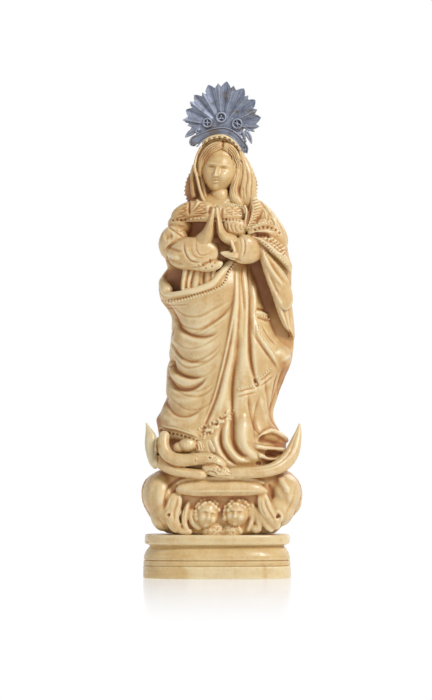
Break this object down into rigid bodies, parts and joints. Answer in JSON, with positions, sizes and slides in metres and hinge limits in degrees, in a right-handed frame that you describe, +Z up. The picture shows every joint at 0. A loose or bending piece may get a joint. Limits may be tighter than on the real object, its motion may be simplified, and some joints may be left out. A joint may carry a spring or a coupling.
{
  "type": "carved ivory madonna statuette",
  "caption": "Carved ivory statuette of a praying lady in a mantle, on a crescent moon and cloud, with an oval moulded base and a silver halo.",
  "frame": {"origin": "middle of the base's flat underside", "axes": "+Z up through the figure; the figure looks along -Y; +X is the viewer's right when facing it"},
  "size_m": [0.0806, 0.0528, 0.2476],
  "materials": {
    "base_ivory": "satin",
    "figure_ivory": "satin",
    "horn_ivory": "satin",
    "halo_silver": "tarnished"
  },
  "bodies": {
    "root": {"moulded_base": "base_ivory", "carved_figure": "figure_ivory", "moon_horn": "horn_ivory", "silver_halo": "halo_silver"}
  },
  "joints": []
}
